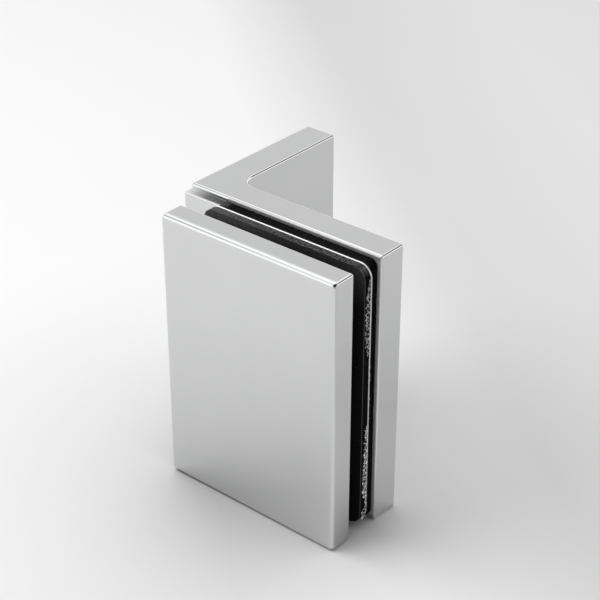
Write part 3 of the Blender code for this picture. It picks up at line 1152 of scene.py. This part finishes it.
def light_tent():
    """A tent of soft light, laid over in parts from the walls inward.

    Its roof leans to the front left, and a bright skirt stands at the back right and at the front left. What
    stays darker are two gaps in the cloth, the side where the camera stands and a screen above the camera.
    """
    world = bpy.data.worlds.new("light tent")
    bpy.context.scene.world = world
    world.use_nodes = True
    tree = world.node_tree
    tree.nodes.clear()
    direction = node(tree, "ShaderNodeTexCoord").outputs["Generated"]
    split = node(tree, "ShaderNodeSeparateXYZ", {0: direction})
    height = split.outputs["Z"]

    def toward(aim, edge):
        """1 where the tent is seen in the aimed direction, 0 away from it."""
        inputs = {0: direction, 1: Vector(aim).normalized()}
        near = node(tree, "ShaderNodeVectorMath", inputs, operation="DOT_PRODUCT").outputs["Value"]
        return spread(tree, near, *edge)

    def lit(level, mask, brightness):
        return node(tree, "ShaderNodeMix", {0: mask, 2: level, 3: brightness}).outputs[0]

    level = lit(front_wall_level, toward(back_wall_aim, back_wall_edge), back_wall_level)
    level = lit(level, toward(roof_aim, roof_edge), roof_level)
    level = lit(level, toward(back_strip_aim, back_strip_edge), back_strip_level)

    back_height = spread(tree, toward(skirt_back_aim, skirt_back_edge), 0.0, 1.0, *skirt_back_heights)
    front_rise = spread(tree, toward(skirt_front_aim, skirt_front_edge), 0.0, 1.0, 0.0, skirt_front_rise)
    skirt_top = arithmetic(tree, "ADD", back_height, front_rise)
    below = arithmetic(tree, "SUBTRACT", skirt_top, height)
    level = lit(level, spread(tree, below, -skirt_softness, skirt_softness), skirt_level)

    level = lit(level, toward(front_gap_aim, front_gap_edge), front_gap_level)

    from_middle = arithmetic(tree, "SUBTRACT", split.outputs["Y"], back_gap_y)
    from_middle = arithmetic(tree, "ABSOLUTE", from_middle, 0.0)
    back_gap = product(
        tree,
        spread(tree, height, *back_gap_foot),
        spread(tree, height, *back_gap_head, 1.0, 0.0),
        spread(tree, from_middle, *back_gap_half_width, 1.0, 0.0),
        spread(tree, split.outputs["X"], *back_gap_x),
    )
    level = lit(level, back_gap, back_gap_level)

    level = lit(level, toward(camera_side_aim, camera_side_edge), camera_side_level)
    screen = product(tree, spread(tree, height, *screen_foot), toward(screen_aim, screen_edge))
    level = lit(level, screen, screen_level)
    backdrop = node(tree, "ShaderNodeBackground", {"Color": (1, 1, 1, 1), "Strength": level})
    node(tree, "ShaderNodeOutputWorld", {"Surface": backdrop.outputs[0]})


def softbox():
    """A large square softbox over the front left, close enough for its light to fade to the back right."""
    lamp = bpy.data.lights.new("softbox", "AREA")
    lamp.shape = "SQUARE"
    lamp.size = key_size
    lamp.energy = key_watts
    box = bpy.data.objects.new("softbox", lamp)
    bpy.context.scene.collection.objects.link(box)
    box.location = key_place
    box.rotation_euler = (-Vector(key_place)).to_track_quat("-Z", "Y").to_euler()
    box.visible_glossy = False


def camera():
    """The photograph's view: looking down at about 30 degrees from the front right."""
    data = bpy.data.cameras.new("camera")
    data.sensor_width = 36
    data.lens = camera_lens
    data.clip_start = 0.01
    data.clip_end = 20
    eye = bpy.data.objects.new("camera", data)
    bpy.context.scene.collection.objects.link(eye)
    eye.location = camera_place
    aim = Vector(camera_aim) - eye.location
    eye.rotation_euler = aim.to_track_quat("-Z", "Y").to_euler()
    bpy.context.scene.camera = eye


# Assembly

def fit(piece, node_name, body, material):
    """The piece takes the place of its node, rides on its body and wears its finish."""
    piece.data.materials.clear()
    piece.data.materials.append(material)
    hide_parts(node_name)
    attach(piece, body)


def assemble():
    marks = buffing_marks()
    dust = settled_dust()
    grain = fine_grain()
    chrome = polished_chrome(marks)
    rubber = black_rubber("black sheet rubber", dust, grain, **sheet_rubber_look)
    dense_rubber = black_rubber("dense black rubber", dust, grain, **dense_rubber_look)
    film = clear_film(marks)
    crushed = crinkled_film(marks)
    steel = screw_steel(marks)
    nylon = white_nylon(dust, grain)

    fit(wall_bracket(), "wall_bracket", "bracket", chrome)
    fit(clamp_plate(), "clamp_plate", "plate", chrome)
    rear_end = Vector((rear_high.x - rear_shrink, rear_high.y, rear_high.z))
    rear = die_cut_rubber("rear_rubber", rear_low, rear_end, 0, rear_gasket_corner, screw_hole_radius)
    fit(rear, "rear_gasket", "bracket", dense_rubber)
    corner = front_gasket_corner
    front = die_cut_rubber("front_rubber", front_low, front_high, corner, corner, sleeve_hole_radius)
    fit(front, "front_gasket", "bracket", rubber)
    low, high, corner = plate_gasket_low, plate_gasket_high, plate_gasket_corner
    thin = die_cut_rubber("plate_rubber", low, high, corner, corner, sleeve_hole_radius)
    fit(thin, "plate_gasket", "plate", rubber)
    fit(lining_film(), "liner_film", "bracket", film)
    fit(folded_film(), "liner_film", "bracket", crushed)
    for side, (across, height) in screw_axes.items():
        screw = threaded_screw("socket_screw_" + side, across, height)
        fit(screw, "clamp_screw_" + side, "screw_" + side, steel)
        sleeve = boss_sleeve("nylon_sleeve_" + side, across, height)
        fit(sleeve, "boss_sleeve_" + side, "plate", nylon)


assemble()
studio_table()
light_tent()
softbox()
camera()
bpy.context.scene.view_settings.view_transform = "Standard"
